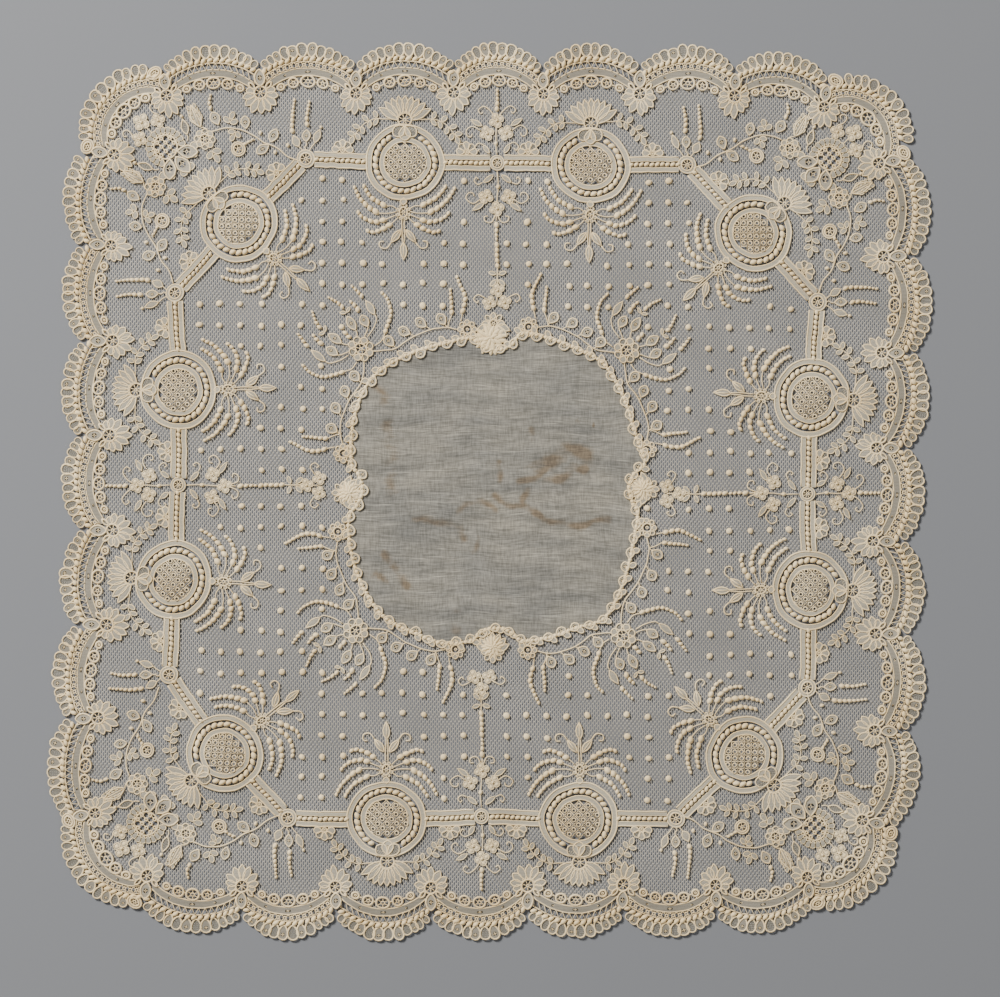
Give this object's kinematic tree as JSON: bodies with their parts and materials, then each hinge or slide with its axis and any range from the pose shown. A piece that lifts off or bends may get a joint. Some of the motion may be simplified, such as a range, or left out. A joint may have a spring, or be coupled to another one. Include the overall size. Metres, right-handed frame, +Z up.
{
  "type": "lace handkerchief",
  "caption": "Square needle-lace handkerchief lying flat, with a plain linen middle, a net border of sprays and ringed medallions, and a scalloped edge.",
  "frame": {"origin": "on the underside, in the middle of the whole outline", "axes": "+Z up out of the right side of the lace; +Y towards the edge at the top of the picture; +X towards its right edge"},
  "size_m": [0.3547, 0.359, 0.0017],
  "materials": {
    "linen": "plain-woven lawn, washed soft, matt",
    "padded_thread": "raised buttonholed cotton thread, matt with a slight sheen",
    "net_thread": "fine open needle-made net, matt",
    "lace_cloth": "close buttonhole stitches with corded outlines, matt"
  },
  "bodies": {
    "root": {"linen_centre": "linen", "centre_rim": "padded_thread", "inner_net": "net_thread", "medallion_band": "lace_cloth", "outer_net": "net_thread", "scalloped_edge": "lace_cloth"}
  },
  "joints": []
}
